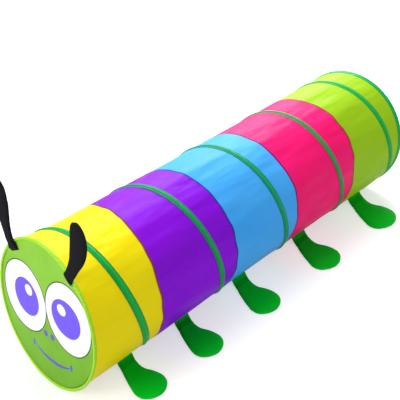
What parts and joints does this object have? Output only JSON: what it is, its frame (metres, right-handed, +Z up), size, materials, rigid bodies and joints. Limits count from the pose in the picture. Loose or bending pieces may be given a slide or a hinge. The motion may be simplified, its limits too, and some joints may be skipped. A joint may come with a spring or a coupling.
{
  "type": "kids play tunnel",
  "caption": "Pop-up crawl tunnel shaped like a friendly bug: coloured cloth sections on a spring coil, a face with a door flap, soft antennae and feet.",
  "frame": {"origin": "on the floor under the middle of the overall length, on the tunnel's centre plane", "axes": "+Z up, +Y along the tunnel from the face to the open tail, +X to the right as one looks at the face"},
  "size_m": [0.7082, 1.8358, 0.6628],
  "materials": {
    "yellow_cloth": "thin woven polyester, slight satin sheen",
    "purple_cloth": "thin woven polyester, slight satin sheen",
    "blue_cloth": "thin woven polyester, slight satin sheen",
    "pink_cloth": "thin woven polyester, slight satin sheen",
    "lime_cloth": "thin woven polyester, slight satin sheen",
    "face_cloth": "printed woven polyester",
    "lime_binding": "folded satin binding",
    "green_tape": "woven tape with stitched edges",
    "foot_satin": "satin weave, thinly padded",
    "antenna_felt": "black felt, thinly padded",
    "spring_steel": "drawn spring wire",
    "sleeve_plastic": "moulded tube"
  },
  "bodies": {
    "tail_and_coil": {"tail_binding": "green_tape", "tail_hoop": "spring_steel", "tail_hoop_sleeve": "sleeve_plastic", "spring_wire": "spring_steel", "wire_casing": "green_tape"},
    "head": {"head_binding": "lime_binding", "head_hoop": "spring_steel", "head_hoop_sleeve": "sleeve_plastic", "face_header": "face_cloth"},
    "door_flap": {"face_flap": "face_cloth"},
    "antenna_right": {"antenna_right": "antenna_felt"},
    "antenna_left": {"antenna_left": "antenna_felt"},
    "section_yellow": {"panel_yellow": "yellow_cloth"},
    "section_purple": {"panel_purple": "purple_cloth"},
    "section_blue": {"panel_blue": "blue_cloth"},
    "section_pink": {"panel_pink": "pink_cloth"},
    "section_lime": {"panel_lime": "lime_cloth"},
    "foot_right_1": {"foot_right_1": "foot_satin"},
    "foot_right_2": {"foot_right_2": "foot_satin"},
    "foot_right_3": {"foot_right_3": "foot_satin"},
    "foot_right_4": {"foot_right_4": "foot_satin"},
    "foot_right_5": {"foot_right_5": "foot_satin"},
    "foot_left_1": {"foot_left_1": "foot_satin"},
    "foot_left_2": {"foot_left_2": "foot_satin"},
    "foot_left_3": {"foot_left_3": "foot_satin"},
    "foot_left_4": {"foot_left_4": "foot_satin"},
    "foot_left_5": {"foot_left_5": "foot_satin"}
  },
  "joints": [
    {"name": "tunnel_collapse", "type": "slide", "parent": "tail_and_coil", "child": "section_yellow", "axis": [0, 1, 0], "range_m": [0, 1.53], "stiffness_N_per_m": 18, "deforming": ["spring_wire", "wire_casing", "panel_yellow", "panel_purple", "panel_blue", "panel_pink", "panel_lime", "foot_right_1", "foot_right_2", "foot_right_3", "foot_right_4", "foot_right_5", "foot_left_1", "foot_left_2", "foot_left_3", "foot_left_4", "foot_left_5"]},
    {"name": "head_straighten", "type": "hinge", "parent": "section_yellow", "child": "head", "pos_m": [-0.64668, -0.79463, 0.25], "axis": [0, 0, 1], "range_deg": [0, 11.6]},
    {"name": "purple_follow", "type": "slide", "parent": "tail_and_coil", "child": "section_purple", "axis": [0, 1, 0], "range_m": [0, 1.23]},
    {"name": "blue_follow", "type": "slide", "parent": "tail_and_coil", "child": "section_blue", "axis": [0, 1, 0], "range_m": [0, 0.88]},
    {"name": "pink_follow", "type": "slide", "parent": "tail_and_coil", "child": "section_pink", "axis": [0, 1, 0], "range_m": [0, 0.52]},
    {"name": "lime_follow", "type": "slide", "parent": "tail_and_coil", "child": "section_lime", "axis": [0, 1, 0], "range_m": [0, 0.17]},
    {"name": "door_flap_hinge", "type": "hinge", "parent": "head", "child": "door_flap", "pos_m": [-0.00948, -0.85857, 0.40689], "axis": [-0.9781, 0.199, -0.061], "range_deg": [0, 95]},
    {"name": "antenna_right_bend", "type": "hinge", "parent": "head", "child": "antenna_right", "pos_m": [0.14852, -0.89102, 0.42308], "axis": [0.9781, -0.199, 0.061], "range_deg": [0, 60], "stiffness_Nm_per_rad": 0.1},
    {"name": "antenna_left_bend", "type": "hinge", "parent": "head", "child": "antenna_left", "pos_m": [-0.158, -0.82866, 0.40733], "axis": [0.9781, -0.199, 0.061], "range_deg": [0, 60], "stiffness_Nm_per_rad": 0.1},
    {"name": "foot_right_1_hinge", "type": "hinge", "parent": "section_yellow", "child": "foot_right_1", "pos_m": [0.09068, -0.629, 0.02153], "axis": [0, -1, 0], "range_deg": [-90, 35]},
    {"name": "foot_right_2_hinge", "type": "hinge", "parent": "section_purple", "child": "foot_right_2", "pos_m": [0.0906, -0.33547, 0.0215], "axis": [0, -1, 0], "range_deg": [-90, 35]},
    {"name": "foot_right_3_hinge", "type": "hinge", "parent": "section_blue", "child": "foot_right_3", "pos_m": [0.0906, -0.00073, 0.0215], "axis": [0, -1, 0], "range_deg": [-90, 35]},
    {"name": "foot_right_4_hinge", "type": "hinge", "parent": "section_pink", "child": "foot_right_4", "pos_m": [0.0906, 0.38799, 0.0215], "axis": [0, -1, 0], "range_deg": [-90, 35]},
    {"name": "foot_right_5_hinge", "type": "hinge", "parent": "section_lime", "child": "foot_right_5", "pos_m": [0.0906, 0.79533, 0.0215], "axis": [0, -1, 0], "range_deg": [-90, 35]},
    {"name": "foot_left_1_hinge", "type": "hinge", "parent": "section_yellow", "child": "foot_left_1", "pos_m": [-0.0906, -0.55394, 0.0215], "axis": [0, 1, 0], "range_deg": [-90, 35]},
    {"name": "foot_left_2_hinge", "type": "hinge", "parent": "section_purple", "child": "foot_left_2", "pos_m": [-0.0906, -0.33547, 0.0215], "axis": [0, 1, 0], "range_deg": [-90, 35]},
    {"name": "foot_left_3_hinge", "type": "hinge", "parent": "section_blue", "child": "foot_left_3", "pos_m": [-0.0906, -0.00073, 0.0215], "axis": [0, 1, 0], "range_deg": [-90, 35]},
    {"name": "foot_left_4_hinge", "type": "hinge", "parent": "section_pink", "child": "foot_left_4", "pos_m": [-0.0906, 0.38799, 0.0215], "axis": [0, 1, 0], "range_deg": [-90, 35]},
    {"name": "foot_left_5_hinge", "type": "hinge", "parent": "section_lime", "child": "foot_left_5", "pos_m": [-0.0906, 0.79533, 0.0215], "axis": [0, 1, 0], "range_deg": [-90, 35]}
  ],
  "couplings": [
    {"joint": "head_straighten", "follows": "tunnel_collapse", "rad_per_m": 0.13118},
    {"joint": "purple_follow", "follows": "tunnel_collapse", "ratio": 0.79761},
    {"joint": "blue_follow", "follows": "tunnel_collapse", "ratio": 0.56828},
    {"joint": "pink_follow", "follows": "tunnel_collapse", "ratio": 0.33466},
    {"joint": "lime_follow", "follows": "tunnel_collapse", "ratio": 0.10655}
  ]
}
